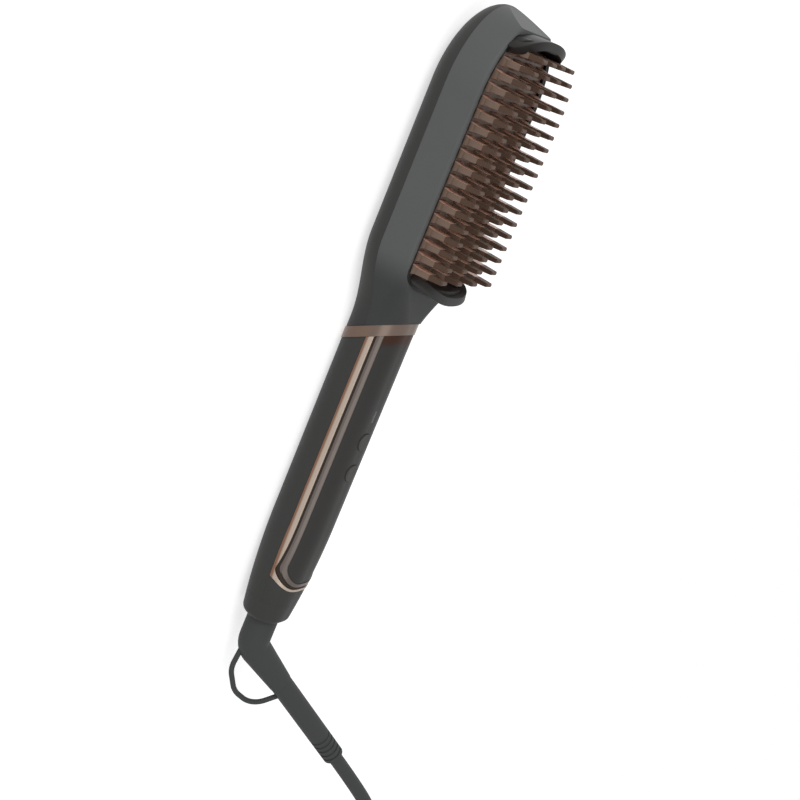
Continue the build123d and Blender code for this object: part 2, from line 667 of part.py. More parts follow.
# Buttons: a domed cap with a flange under the shell, and the switch plunger that it pushes
button_form = handle_form(-BUTTON_PROUD)
flange_top_z = HANDLE_HEIGHT - WALL - FLANGE_CLEARANCE
flange_bottom_z = flange_top_z - BUTTON_FLANGE_THICK
switch_top_z = BOARD_TOP_Z + SWITCH_HEIGHT
for button_name, button_y in (("temperature", TEMPERATURE_Y), ("power", POWER_Y)):
    with BuildPart() as button:
        with BuildSketch(Plane.XY.offset(flange_bottom_z)):
            with Locations((0, button_y)):
                Circle(BUTTON_RADIUS)
        extrude(amount=HANDLE_HEIGHT)
        add(button_form, mode=Mode.INTERSECT)
        with BuildSketch(Plane.XY.offset(flange_bottom_z)):
            with Locations((0, button_y)):
                Circle(BUTTON_FLANGE_RADIUS)
        extrude(amount=BUTTON_FLANGE_THICK)
    save(button, f"{button_name}_button")
    with BuildPart() as plunger:
        with BuildSketch(Plane.XY.offset(switch_top_z - PLUNGER_SINK)):
            with Locations((0, button_y)):
                Circle(PLUNGER_RADIUS)
        extrude(until=Until.NEXT, target=button.part)
    save(plunger, f"{button_name}_plunger")

# Board with its switches, lights and power parts
with BuildPart() as circuit_board:
    with BuildSketch(Plane.XY.offset(board_bottom_z)):
        with Locations((0, BOARD_Y)):
            RectangleRounded(BOARD_WIDTH, BOARD_LENGTH, 2)
        with Locations([(0, y) for y in BOARD_BOSS_YS]):
            Circle(SCREW_RADIUS, mode=Mode.SUBTRACT)
    extrude(amount=BOARD_THICK)
save(circuit_board, "circuit_board")

with BuildPart() as board_screws:
    with BuildSketch(Plane.XY.offset(BOARD_TOP_Z)):
        with Locations([(0, y) for y in BOARD_BOSS_YS]):
            Circle(SCREW_HEAD_RADIUS)
    extrude(amount=SCREW_HEAD_HEIGHT)
    with BuildSketch(Plane.XY.offset(BOARD_TOP_Z)):
        with Locations([(0, y) for y in BOARD_BOSS_YS]):
            Circle(SCREW_RADIUS)
    extrude(amount=-SCREW_LENGTH / 2)
save(board_screws, "board_screws")

with BuildPart() as tact_switches:
    with BuildSketch(Plane.XY.offset(BOARD_TOP_Z)):
        with Locations([(0, y) for y in button_ys]):
            Rectangle(SWITCH_SIZE, SWITCH_SIZE)
    extrude(amount=SWITCH_HEIGHT)
    with BuildSketch(Plane.XY.offset(switch_top_z)):
        with Locations([(0, y) for y in button_ys]):
            Circle(PLUNGER_RADIUS + PLUNGER_BORE_GAP)
    extrude(amount=-PLUNGER_BORE_DEPTH, mode=Mode.SUBTRACT)
save(tact_switches, "tact_switches")

with BuildPart() as indicator_lens:
    with BuildSketch(Plane.XY.offset(HANDLE_HEIGHT - WALL)):
        with Locations((0, LENS_Y)):
            SlotOverall(LENS_LENGTH - FIT_GAP, LENS_WIDTH - FIT_GAP, rotation=90)
    extrude(amount=HANDLE_HEIGHT)
    add(handle_outside, mode=Mode.INTERSECT)
save(indicator_lens, "indicator_lens")

with BuildPart() as indicator_lights:
    with BuildSketch(Plane.XY.offset(BOARD_TOP_Z)):
        with Locations((0, LENS_Y)):
            with GridLocations(0, LED_SIZE + 0.6, 1, 2):
                Rectangle(LED_SIZE, LED_SIZE)
    extrude(amount=LED_HEIGHT)
save(indicator_lights, "indicator_lights")

with BuildPart() as capacitor:
    with BuildSketch(plane_at(CAPACITOR_Y + CAPACITOR_LENGTH / 2)):
        with Locations((0, board_bottom_z - CAPACITOR_RADIUS)):
            Circle(CAPACITOR_RADIUS)
    extrude(amount=CAPACITOR_LENGTH)
    fillet(capacitor.edges().filter_by(GeomType.CIRCLE), radius=0.6)
save(capacitor, "capacitor")

with BuildPart() as triac:
    with BuildSketch(Plane.XY.offset(board_bottom_z)):
        with Locations((0, TRIAC_Y)):
            Rectangle(TRIAC_WIDTH, TRIAC_LENGTH)
    extrude(amount=-TRIAC_THICK)
    chamfer(triac.edges().filter_by(Axis.Y).group_by(Axis.Z)[0], length=0.8)
save(triac, "triac")

# Leads from the board to the heater and from the swivel contacts to the board
board_head_end_y = BOARD_Y + BOARD_LENGTH / 2
board_cord_end_y = BOARD_Y - BOARD_LENGTH / 2
heater_end_y = HEATER_Y - HEATER_LENGTH / 2
with BuildPart() as heater_leads:
    for lead_x in (-LEAD_X, LEAD_X):
        with BuildLine() as lead_path:
            FilletPolyline(
                (lead_x, board_head_end_y - 4, BOARD_TOP_Z + LEAD_RADIUS),
                (lead_x, board_head_end_y + 12, BOARD_TOP_Z + LEAD_RADIUS),
                (lead_x, heater_end_y - 14, heater_top_z - LEAD_RADIUS),
                (lead_x, heater_end_y, heater_top_z - LEAD_RADIUS),
                radius=12,
            )
        with BuildSketch(plane_at(board_head_end_y - 4)):
            with Locations((lead_x, BOARD_TOP_Z + LEAD_RADIUS)):
                Circle(LEAD_RADIUS)
        sweep()
save(heater_leads, "heater_leads")

# End cap: closes the handle and carries the swivel
with BuildPart() as cap_hollow:
    add(handle_cavity)
    split(bisect_by=plane_at(CAP_END_Y + CAP_END_WALL), keep=Keep.BOTTOM)
with BuildPart() as end_cap:
    add(handle_outside)
    split(bisect_by=plane_at(CAP_START_Y), keep=Keep.TOP)
    fillet(end_cap.faces().sort_by(Axis.Y)[0].edges(), radius=CAP_END_ROUND)
    add(cap_hollow.part, mode=Mode.SUBTRACT)
    with BuildSketch(plane_at(CAP_END_Y + CAP_END_WALL)):
        with Locations((0, AXIS_Z)):
            Circle(STEM_RADIUS + STEM_GAP)
    extrude(amount=CAP_END_WALL, both=True, mode=Mode.SUBTRACT)
save(end_cap, "end_cap")

# Retainer: a plate across the handle that keeps the stem's flange in the cap
flange_low_y = CAP_END_Y + CAP_END_WALL + FIT_GAP
retainer_low_y = flange_low_y + FLANGE_THICK + FIT_GAP
with BuildPart() as swivel_retainer:
    add(handle_cavity)
    split(bisect_by=plane_at(retainer_low_y), keep=Keep.BOTTOM)
    split(bisect_by=plane_at(retainer_low_y + RETAINER_THICK), keep=Keep.TOP)
    with BuildSketch(plane_at(retainer_low_y + RETAINER_THICK)):
        with Locations((0, AXIS_Z)):
            Circle(INNER_STEM_RADIUS + STEM_GAP)
    extrude(amount=RETAINER_THICK, mode=Mode.SUBTRACT)
save(swivel_retainer, "swivel_retainer")

# Contact block in the back shell, with a spring strip under each slip ring
block_length = SLIP_RING_YS[0] - SLIP_RING_YS[1] + 2 * SLIP_RING_WIDTH
block_middle_y = (SLIP_RING_YS[0] + SLIP_RING_YS[1]) / 2
with BuildPart() as contact_block:
    with BuildSketch(Plane.XY.offset(WALL / 2)):
        with Locations((0, block_middle_y)):
            Rectangle(10, block_length)
    extrude(amount=BLOCK_TOP_Z - WALL / 2)
    add(handle_cavity, mode=Mode.INTERSECT)
save(contact_block, "contact_block")

ring_low_z = AXIS_Z - SLIP_RING_RADIUS - STEM_GAP
with BuildPart() as contact_springs:
    for ring_y in SLIP_RING_YS:
        with BuildSketch(plane_at(ring_y + BRUSH_WIDTH / 2)):
            with BuildLine():
                Polyline(
                    (-4, BLOCK_TOP_Z), (4, BLOCK_TOP_Z), (4, BLOCK_TOP_Z + BRUSH_THICK),
                    (0.8, ring_low_z), (-0.8, ring_low_z), (-4, BLOCK_TOP_Z + BRUSH_THICK),
                    close=True,
                )
            make_face()
        extrude(amount=BRUSH_WIDTH)
save(contact_springs, "contact_springs")

with BuildPart() as mains_leads:
    for lead_x in (-LEAD_X, LEAD_X):
        with BuildLine():
            FilletPolyline(
                (lead_x, block_middle_y + block_length / 2, BLOCK_TOP_Z - LEAD_RADIUS),
                (lead_x, block_middle_y + block_length / 2 + 8, BLOCK_TOP_Z - LEAD_RADIUS),
                (lead_x, board_cord_end_y - 6, board_bottom_z - LEAD_RADIUS),
                (lead_x, board_cord_end_y + LEAD_RADIUS, board_bottom_z - LEAD_RADIUS),
                radius=3,
            )
        with BuildSketch(plane_at(block_middle_y + block_length / 2)):
            with Locations((lead_x, BLOCK_TOP_Z - LEAD_RADIUS)):
                Circle(LEAD_RADIUS)
        sweep()
save(mains_leads, "mains_leads")

# Swivel stem: turns in the cap with the flange behind the cap's end wall
elbow_start_y = CAP_END_Y - ELBOW_GAP
with BuildPart() as swivel_stem:
    with BuildSketch(plane_at(flange_low_y)):
        with Locations((0, AXIS_Z)):
            Circle(STEM_RADIUS)
    extrude(amount=flange_low_y - CAP_END_Y)
    with BuildSketch(plane_at(flange_low_y + FLANGE_THICK)):
        with Locations((0, AXIS_Z)):
            Circle(FLANGE_RADIUS)
    extrude(amount=FLANGE_THICK)
    with BuildSketch(plane_at(STEM_TOP_Y)):
        with Locations((0, AXIS_Z)):
            Circle(INNER_STEM_RADIUS)
    extrude(amount=STEM_TOP_Y - flange_low_y)
save(swivel_stem, "swivel_stem")

with BuildPart() as slip_rings:
    for ring_y in SLIP_RING_YS:
        with BuildSketch(plane_at(ring_y + SLIP_RING_WIDTH / 2)):
            with Locations((0, AXIS_Z)):
                Circle(SLIP_RING_RADIUS)
                Circle(INNER_STEM_RADIUS, mode=Mode.SUBTRACT)
        extrude(amount=SLIP_RING_WIDTH)
save(slip_rings, "slip_rings")

# Elbow: the moulded knuckle that turns the cord aside, with a tapering collar
elbow_corner = Vector(0, ELBOW_CORNER_Y, AXIS_Z)
cord_way = Vector(0, -1, 0)
turn_deg = BOOT_DIRECTION.get_angle(cord_way)
bend_setback = ELBOW_BEND * tan(radians(turn_deg / 2))


def across(distance):
    """Plane square to the boot, at a distance from the elbow's corner."""
    return Plane(origin=elbow_corner + BOOT_DIRECTION * distance, z_dir=BOOT_DIRECTION)


collar_taper = (ELBOW_RADIUS - COLLAR_RADIUS) / (COLLAR_END - bend_setback)
with BuildPart() as swivel_elbow:
    with BuildLine():
        FilletPolyline(
            (0, elbow_start_y, AXIS_Z),
            elbow_corner,
            elbow_corner + BOOT_DIRECTION * (bend_setback + 0.5),
            radius=ELBOW_BEND,
        )
    with BuildSketch(plane_at(elbow_start_y)):
        with Locations((0, AXIS_Z)):
            Circle(ELBOW_RADIUS)
    sweep()
    with BuildSketch(across(bend_setback + 0.5)):
        Circle(ELBOW_RADIUS)
    with BuildSketch(across(COLLAR_END)):
        Circle(COLLAR_RADIUS)
    loft()
    with BuildSketch(plane_at(CAP_END_Y)):
        with Locations((0, AXIS_Z)):
            Circle(STEM_RADIUS)
    extrude(amount=CAP_END_Y - elbow_start_y)
save(swivel_elbow, "swivel_elbow")

# Boot: the tapered strain relief, with shallow rings near its end
with BuildPart() as cord_boot:
    with BuildSketch(across(COLLAR_END)):
        Circle(BOOT_ROOT_RADIUS)
    with BuildSketch(across(BOOT_END)):
        Circle(BOOT_END_RADIUS)
    loft()
    for rib in range(BOOT_RIBS):
        with BuildSketch(across(BOOT_END - (rib + 1) * BOOT_RIB_PITCH)):
            Circle(BOOT_ROOT_RADIUS)
            Circle(BOOT_END_RADIUS - BOOT_RIB_DEPTH + rib * 0.04, mode=Mode.SUBTRACT)
        extrude(amount=BOOT_RIB_WIDTH, mode=Mode.SUBTRACT)
save(cord_boot, "cord_boot")


def loop_point(down, aside):
    """Point of the hanging loop: down the brush axis and aside from it in the elbow's plane."""
    aside_way = (BOOT_DIRECTION - cord_way * BOOT_DIRECTION.dot(cord_way)).normalized()
    return elbow_corner + cord_way * down + aside_way * aside


# Hanging loop: leaves the elbow's outer side and comes back to the boot
loop_start = loop_point(2.0, -4.2)
loop_turn = loop_point(14.0, -5.6)
with BuildPart() as hanging_loop:
    with BuildLine():
        FilletPolyline(
            loop_start,
            loop_turn,
            loop_point(25.5, 0.5),
            loop_point(32.0, 12.0),
            loop_point(24.0, 26.0),
            radius=LOOP_BEND,
        )
    with BuildSketch(Plane(origin=loop_start, z_dir=loop_turn - loop_start)):
        Circle(LOOP_RADIUS)
    sweep()
    add(swivel_elbow.part, mode=Mode.SUBTRACT)
    add(cord_boot.part, mode=Mode.SUBTRACT)
save(hanging_loop, "hanging_loop")

# Mains cord: out of the boot, over and down to the surface, and into the coil
coil_x, coil_y = COIL_CENTRE
coil_outer_turn = COIL_RADIUS + CORD_RADIUS
boot_end = elbow_corner + BOOT_DIRECTION * BOOT_END
cord_route = [
    boot_end,
    boot_end + BOOT_DIRECTION * 20,
    Vector(84, -245, 68),
    Vector(98, -265, 71),
    Vector(108, -288, 66),
    Vector(114, -311, 53),
    Vector(115, -336, 31),
    Vector(113, -359, 15),
    Vector(111, -382, CORD_RADIUS),
    Vector(coil_x + coil_outer_turn, coil_y, CORD_RADIUS),
]


def corner_radii(points):
    """Largest arc that each corner's two runs leave room for."""
    radii = []
    for before, corner, after in zip(points, points[1:], points[2:]):
        first_run = corner - before
        second_run = after - corner
        half_turn = radians(first_run.get_angle(second_run) / 2)
        radii.append(TURN_FILL * min(first_run.length, second_run.length) / tan(half_turn))
    return radii


def cord_tube(points):
    """Tube along straight runs joined by tangent arcs."""
    radii = corner_radii(points)
    with BuildPart() as tube:
        with BuildLine() as path:
            FilletPolyline(*points, radius=radii)
        with BuildSketch(Plane(origin=points[0], z_dir=points[1] - points[0])):
            Circle(CORD_RADIUS)
        sweep()
    length = path.wires()[0].length
    print("radii", [round(radius, 1) for radius in radii], "length", round(length, 1),
          "volume ratio", round(tube.part.volume / (pi * CORD_RADIUS**2 * length), 3))
    return tube


power_cord = cord_tube(cord_route)
save(power_cord, "power_cord")

coil_height = COIL_LAYERS * CORD_DIAMETER
coil_half_width = COIL_COLUMNS * CORD_RADIUS
with BuildPart() as cord_coil:
    with BuildSketch(Plane.XY):
        with Locations(COIL_CENTRE):
            Circle(COIL_RADIUS + coil_half_width)
            Circle(COIL_RADIUS - coil_half_width, mode=Mode.SUBTRACT)
    extrude(amount=coil_height)
    fillet(cord_coil.edges().group_by(Axis.Z)[-1], radius=CORD_RADIUS * 0.9)
save(cord_coil, "cord_coil")

with BuildPart() as coil_tie:
    with BuildSketch(Plane.YZ.offset(coil_x - TIE_WIDTH / 2)):
        with Locations((coil_y + COIL_RADIUS, coil_height / 2 + TIE_THICK / 2)):
            RectangleRounded(2 * coil_half_width + 2 * TIE_THICK, coil_height + TIE_THICK, 3.5)
            with Locations((0, 0)):
                RectangleRounded(
                    2 * coil_half_width, coil_height - TIE_THICK, 3.0, mode=Mode.SUBTRACT
                )
    extrude(amount=TIE_WIDTH)
save(coil_tie, "coil_tie")

# Tail of the cord, from the top of the coil down to the plug that lies beside it
plug_axis_z = PLUG_HEIGHT / 2
tail_route = [
    Vector(coil_x, coil_y - coil_outer_turn, coil_height - CORD_RADIUS),
    Vector(40.6, -451.2, 15),
    Vector(18.5, -441.8, 10),
    Vector(3.1, -423.4, plug_axis_z),
    Vector(-2.3, -400, plug_axis_z),
]
cord_tail = cord_tube(tail_route)
save(cord_tail, "cord_tail")

# Plug: a flat two-pin mains plug with a rounded nose
plug_way = (tail_route[-1] - tail_route[-2]).normalized()
plug_plane = Plane(origin=tail_route[-1], x_dir=Vector(0, 0, 1).cross(plug_way), z_dir=plug_way)
with BuildPart() as plug_body:
    with BuildSketch(plug_plane):
        RectangleRounded(11, 10, 4)
    with BuildSketch(plug_plane.offset(PLUG_NOSE)):
        RectangleRounded(20, PLUG_HEIGHT - 1.6, 5)
    with BuildSketch(plug_plane.offset(PLUG_LENGTH * 0.62)):
        RectangleRounded(PLUG_WIDTH - 3, PLUG_HEIGHT, 6)
    with BuildSketch(plug_plane.offset(PLUG_LENGTH)):
        RectangleRounded(PLUG_WIDTH, PLUG_HEIGHT, 6)
    loft()
save(plug_body, "plug_body")

with BuildPart() as plug_pins:
    with BuildSketch(plug_plane.offset(PLUG_LENGTH)):
        with GridLocations(PIN_SPACING, 0, 2, 1):
            Circle(PIN_RADIUS)
    extrude(amount=PIN_LENGTH)
    fillet(plug_pins.faces().sort_by(SortBy.DISTANCE)[-2:].edges(), radius=PIN_RADIUS * 0.6)
save(plug_pins, "plug_pins")
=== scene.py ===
"""Looks of the hair straightening brush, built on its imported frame."""

from math import cos, pi, radians, sin

import bpy
from mathutils import Matrix, Vector


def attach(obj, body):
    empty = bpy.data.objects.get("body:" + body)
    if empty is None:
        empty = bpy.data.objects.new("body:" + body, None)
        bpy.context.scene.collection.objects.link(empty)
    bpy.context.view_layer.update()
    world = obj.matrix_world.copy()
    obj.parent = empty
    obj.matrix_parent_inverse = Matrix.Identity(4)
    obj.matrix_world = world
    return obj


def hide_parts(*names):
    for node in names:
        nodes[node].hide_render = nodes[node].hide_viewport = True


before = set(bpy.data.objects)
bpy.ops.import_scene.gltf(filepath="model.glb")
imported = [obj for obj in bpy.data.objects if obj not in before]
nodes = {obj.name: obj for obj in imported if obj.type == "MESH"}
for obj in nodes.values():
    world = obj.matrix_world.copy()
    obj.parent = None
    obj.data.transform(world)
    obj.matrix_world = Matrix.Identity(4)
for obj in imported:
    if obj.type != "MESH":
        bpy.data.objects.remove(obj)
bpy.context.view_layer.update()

# One millimetre in metres: the cord, the guards and the second colours are given in millimetres
MM = 0.001

# Camera fitted to the photograph's outlines
CAMERA_PLACE = (-0.5493, 0.14184, 0.2945)
CAMERA_RIGHT = (0.4862, 0.3722, 0.7906)
CAMERA_BACK = (-0.8721, 0.2631, 0.4125)
CAMERA_LENS = 66.43
SENSOR_WIDTH = 36.0
NEAREST_SEEN = 0.01


def set_camera():
    """Camera at the photograph's viewing angle, turned square from its right and back directions."""
    data = bpy.data.cameras.new("photo_camera")
    data.lens = CAMERA_LENS
    data.sensor_width = SENSOR_WIDTH
    data.clip_start = NEAREST_SEEN
    camera = bpy.data.objects.new("photo_camera", data)
    bpy.context.scene.collection.objects.link(camera)
    right = Vector(CAMERA_RIGHT).normalized()
    back = Vector(CAMERA_BACK)
    back = (back - right * back.dot(right)).normalized()
    turn = Matrix((right, back.cross(right), back)).transposed().to_4x4()
    camera.matrix_world = Matrix.Translation(CAMERA_PLACE) @ turn
    bpy.context.scene.camera = camera


set_camera()

# Mains cord, from the boot on the swivel's elbow to the plug
CORD_DIAMETER = 0.007
CORD_RADIUS = 3.5
ELBOW_CORNER = Vector((0.0, -159.9, 13.25))
BOOT_WAY = Vector((0.6413, -0.6405, 0.4226)).normalized()
BOOT_END = 85.3
STRAIGHT_EXIT = 20
COIL_CENTRE = (64.5, -404.0)
COIL_MEAN = 42.0
COIL_TURNS = 5.25
POINTS_A_TURN = 16
# The spline cuts inside its points, so the coil's points stand further out
SPLINE_SHRINK = 0.981
# Shares of a turn: where the cord starts to change to the next layer, and how long that takes
CHANGE_START = 0.35
CHANGE_LENGTH = 0.3


def coil_points():
    """Turns of the put-away coil, two beside each other in each of three layers."""
    outer = COIL_MEAN + CORD_RADIUS
    inner = COIL_MEAN - CORD_RADIUS
    layers = [
        (outer, CORD_RADIUS), (inner, CORD_RADIUS),
        (inner, 3 * CORD_RADIUS), (outer, 3 * CORD_RADIUS),
        (inner, 5 * CORD_RADIUS), (outer, 5 * CORD_RADIUS),
    ]
    last = len(layers) - 1
    points = []
    for step in range(int(COIL_TURNS * POINTS_A_TURN) + 1):
        turn = step / POINTS_A_TURN
        whole = min(int(turn), last)
        ahead = min(whole + 1, last)
        share = min(1.0, max(0.0, (turn - whole - CHANGE_START) / CHANGE_LENGTH))
        share = share * share * (3 - 2 * share)
        radius = layers[whole][0] * (1 - share) + layers[ahead][0] * share
        height = layers[whole][1] * (1 - share) + layers[ahead][1] * share
        angle = -2 * pi * turn
        points.append(Vector((
            COIL_CENTRE[0] + radius / SPLINE_SHRINK * cos(angle),
            COIL_CENTRE[1] + radius / SPLINE_SHRINK * sin(angle),
            height,
        )))
    return points


def cord_points():
    """Route from the boot to the coil, its turns, and the tail to the plug, in metres."""
    boot_end = ELBOW_CORNER + BOOT_WAY * BOOT_END
    points = [
        boot_end,
        boot_end + BOOT_WAY * STRAIGHT_EXIT,
        Vector((84, -245, 68)),
        Vector((98, -265, 71)),
        Vector((108, -288, 66)),
        Vector((114, -311, 53)),
        Vector((115, -336, 31)),
        Vector((113, -359, 15)),
        Vector((111, -382, 3.5)),
    ]
    points += coil_points()
    points += [
        Vector((40.6, -451.2, 15)),
        Vector((18.5, -441.8, 10)),
        Vector((3.1, -423.4, 6.8)),
        Vector((-2.3, -400, 6.8)),
    ]
    return [point * MM for point in points]


def make_cord():
    """Smooth round cord with closed ends. Each point's radius is the cord's own."""
    route = cord_points()
    curve = bpy.data.curves.new("power_cord_line", "CURVE")
    curve.dimensions = "3D"
    spline = curve.splines.new("NURBS")
    spline.points.add(len(route) - 1)
    for place, point in zip(spline.points, route):
        place.co = (*point, 1.0)
        place.radius = CORD_DIAMETER / 2
    spline.order_u = 3
    spline.use_endpoint_u = True
    spline.resolution_u = 10
    curve.bevel_depth = 1.0
    curve.bevel_resolution = 6
    curve.use_fill_caps = True
    cord = bpy.data.objects.new("mains_cord", curve)
    bpy.context.scene.collection.objects.link(cord)
    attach(cord, "swivel")
    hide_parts("power_cord", "cord_coil", "cord_tail")
    return cord


cord = make_cord()

# Walls round both ends of the plate, which thicken the frame's crests
GUARD_REACH = 21.0
GUARD_SPREAD = 22.5
GUARD_END = 0.15
GUARD_PLAN_POWER = 2.2
GUARD_TOP_POWER = 3.2
GUARD_WALL = 3.8
GUARD_EDGE = 0.9
GUARD_COLUMNS = 56
GUARD_ROWS = 8
BEVEL_ANGLE = radians(50)
SMOOTH_ANGLE = radians(40)
SAME_PLACE = 0.01

# Middle of each guard's plan, how far it bulges past that, its foot, its height and its finish
GUARDS = {
    "tip_guard": (124.0, 12.6, 27.5, 10.4, "black_plastic"),
    "low_guard": (34.0, -11.5, 20.0, 20.0, "charcoal_plastic"),
}


def rounded(place, reach, power):
    """Height of a rounded end, from 1 in the middle to 0 at its reach."""
    return (1.0 - (abs(place) / reach) ** power) ** (1.0 / power)


def make_guard(name, middle_y, depth, foot, height):
    """Arched wall, its outer face first, then its thickness inwards over the frame's crest."""
    bpy.ops.object.select_all(action="DESELECT")
    bpy.ops.mesh.primitive_grid_add(
        x_subdivisions=GUARD_COLUMNS, y_subdivisions=GUARD_ROWS, size=2.0
    )
    guard = bpy.context.object
    guard.name = guard.data.name = name
    for vertex in guard.data.vertices:
        across, up, _ = vertex.co
        x = across * GUARD_REACH
        y = middle_y + depth * rounded(x, GUARD_SPREAD, GUARD_PLAN_POWER)
        top = height * rounded(x, GUARD_REACH + GUARD_END, GUARD_TOP_POWER)
        z = foot + (up + 1.0) / 2.0 * top
        vertex.co = (x * MM, y * MM, z * MM)
    wall = guard.modifiers.new("wall", "SOLIDIFY")
    wall.thickness = GUARD_WALL * MM
    wall.offset = -1.0 if depth < 0 else 1.0
    edge = guard.modifiers.new("edge", "BEVEL")
    edge.width = GUARD_EDGE * MM
    edge.segments = 3
    edge.angle_limit = BEVEL_ANGLE
    for modifier in ("wall", "edge"):
        bpy.ops.object.modifier_apply(modifier=modifier)
    bpy.ops.object.mode_set(mode="EDIT")
    bpy.ops.mesh.select_all(action="SELECT")
    bpy.ops.mesh.remove_doubles(threshold=SAME_PLACE * MM)
    bpy.ops.mesh.normals_make_consistent(inside=False)
    bpy.ops.object.mode_set(mode="OBJECT")
    bpy.ops.object.shade_smooth_by_angle(angle=SMOOTH_ANGLE)
    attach(guard, "brush")
    return guard


def linear(value):
    """sRGB value from 0 to 255, as the linear share that shaders use."""
    share = value / 255
    return share / 12.92 if share <= 0.04045 else ((share + 0.055) / 1.055) ** 2.4


def colour(red, green, blue):
    """Colour for a shader, from its sRGB values."""
    return (linear(red), linear(green), linear(blue), 1.0)


def shared_effect(name, inputs, outputs):
    """Empty shader node group with these inputs and outputs, each a name and a kind."""
    group = bpy.data.node_groups.new(name, "ShaderNodeTree")
    for in_out, sockets in (("INPUT", inputs), ("OUTPUT", outputs)):
        for label, kind in sockets:
            group.interface.new_socket(label, in_out=in_out, socket_type="NodeSocket" + kind)
    return group, group.nodes.new("NodeGroupInput"), group.nodes.new("NodeGroupOutput")


DRIFT_SIZE = 40.0
GRAIN_RISE = 0.0002


def surface_group():
    """Shared effect: fine grain on softened edges as a normal, and a slow drift as a mask."""
    group, given, out = shared_effect(
        "moulded_surface",
        (("Grain size", "Float"), ("Grain depth", "Float"), ("Edge radius", "Float")),
        (("Normal", "Vector"), ("Drift", "Float")),
    )
    coords = group.nodes.new("ShaderNodeTexCoord")
    grain = group.nodes.new("ShaderNodeTexNoise")
    grain.inputs["Detail"].default_value = 3.0
    drift = group.nodes.new("ShaderNodeTexNoise")
    drift.inputs["Scale"].default_value = DRIFT_SIZE
    drift.inputs["Detail"].default_value = 2.0
    bump = group.nodes.new("ShaderNodeBump")
    bump.inputs["Distance"].default_value = GRAIN_RISE
    edge = group.nodes.new("ShaderNodeBevel")
    edge.samples = 4
    join = group.links.new
    join(given.outputs["Edge radius"], edge.inputs["Radius"])
    join(edge.outputs["Normal"], bump.inputs["Normal"])
    join(coords.outputs["Object"], grain.inputs["Vector"])
    join(coords.outputs["Object"], drift.inputs["Vector"])
    join(given.outputs["Grain size"], grain.inputs["Scale"])
    join(given.outputs["Grain depth"], bump.inputs["Strength"])
    join(grain.outputs["Fac"], bump.inputs["Height"])
    join(bump.outputs["Normal"], out.inputs["Normal"])
    join(drift.outputs["Fac"], out.inputs["Drift"])
    return group


def smooth_step(group, value, given, out):
    """Mask that rises smoothly from 0 at Start to 1 at End."""
    mask = group.nodes.new("ShaderNodeMapRange")
    mask.interpolation_type = "SMOOTHSTEP"
    group.links.new(value, mask.inputs["Value"])
    group.links.new(given.outputs["Start"], mask.inputs["From Min"])
    group.links.new(given.outputs["End"], mask.inputs["From Max"])
    group.links.new(mask.outputs["Result"], out.inputs["Mask"])


def beyond_group():
    """Shared effect: mask that rises along a direction."""
    group, given, out = shared_effect(
        "place_along",
        (("Direction", "Vector"), ("Start", "Float"), ("End", "Float")),
        (("Mask", "Float"),),
    )
    coords = group.nodes.new("ShaderNodeTexCoord")
    along = group.nodes.new("ShaderNodeVectorMath")
    along.operation = "DOT_PRODUCT"
    group.links.new(coords.outputs["Object"], along.inputs[0])
    group.links.new(given.outputs["Direction"], along.inputs[1])
    smooth_step(group, along.outputs["Value"], given, out)
    return group


def facing_shade_group():
    """Shared effect: mask of the faces that look across the brush, such as the ends of the teeth,
    for painted shading by facing.
    """
    group, given, out = shared_effect(
        "painted_facing_shade", (("Start", "Float"), ("End", "Float")), (("Mask", "Float"),)
    )
    coords = group.nodes.new("ShaderNodeTexCoord")
    parts = group.nodes.new("ShaderNodeSeparateXYZ")
    size = group.nodes.new("ShaderNodeMath")
    size.operation = "ABSOLUTE"
    group.links.new(coords.outputs["Normal"], parts.inputs["Vector"])
    group.links.new(parts.outputs["X"], size.inputs[0])
    smooth_step(group, size.outputs["Value"], given, out)
    return group


moulded_surface = surface_group()
place_along = beyond_group()
painted_facing_shade = facing_shade_group()


def finish_of(
    name, shade, roughness,
    metal=0.0, shine=0.15, grain=1500.0, depth=0.15, vary=0.06, edge=0.0003,
):
    """Moulded or plated surface, whose colour and gloss drift a little over it."""
    material = bpy.data.materials.new(name)
    material.use_nodes = True
    tree = material.node_tree
    shader = tree.nodes["Principled BSDF"]
    shader.inputs["Metallic"].default_value = metal
    shader.inputs["Specular IOR Level"].default_value = shine
    effect = tree.nodes.new("ShaderNodeGroup")
    effect.node_tree = moulded_surface
    effect.inputs["Grain size"].default_value = grain
    effect.inputs["Grain depth"].default_value = depth
    effect.inputs["Edge radius"].default_value = edge
    tint = tree.nodes.new("ShaderNodeMix")
    tint.data_type = "RGBA"
    tint.inputs["A"].default_value = tuple(c * (1 - vary) for c in shade[:3]) + (1.0,)
    tint.inputs["B"].default_value = tuple(c * (1 + vary) for c in shade[:3]) + (1.0,)
    gloss = tree.nodes.new("ShaderNodeMapRange")
    gloss.inputs["To Min"].default_value = roughness * 0.9
    gloss.inputs["To Max"].default_value = min(roughness * 1.1, 1.0)
    tree.links.new(effect.outputs["Drift"], tint.inputs["Factor"])
    tree.links.new(effect.outputs["Drift"], gloss.inputs["Value"])
    tree.links.new(tint.outputs["Result"], shader.inputs["Base Color"])
    tree.links.new(gloss.outputs["Result"], shader.inputs["Roughness"])
    tree.links.new(effect.outputs["Normal"], shader.inputs["Normal"])
    return material


def second_colour(material, mask, shade):
    """Mix this colour over the material's own, where the mask is 1."""
    tree = material.node_tree
    shader = tree.nodes["Principled BSDF"]
    first = shader.inputs["Base Color"].links[0].from_socket
    mix = tree.nodes.new("ShaderNodeMix")
    mix.data_type = "RGBA"
    mix.inputs["B"].default_value = colour(*shade)
    tree.links.new(mask, mix.inputs["Factor"])
    tree.links.new(first, mix.inputs["A"])
    tree.links.new(mix.outputs["Result"], shader.inputs["Base Color"])


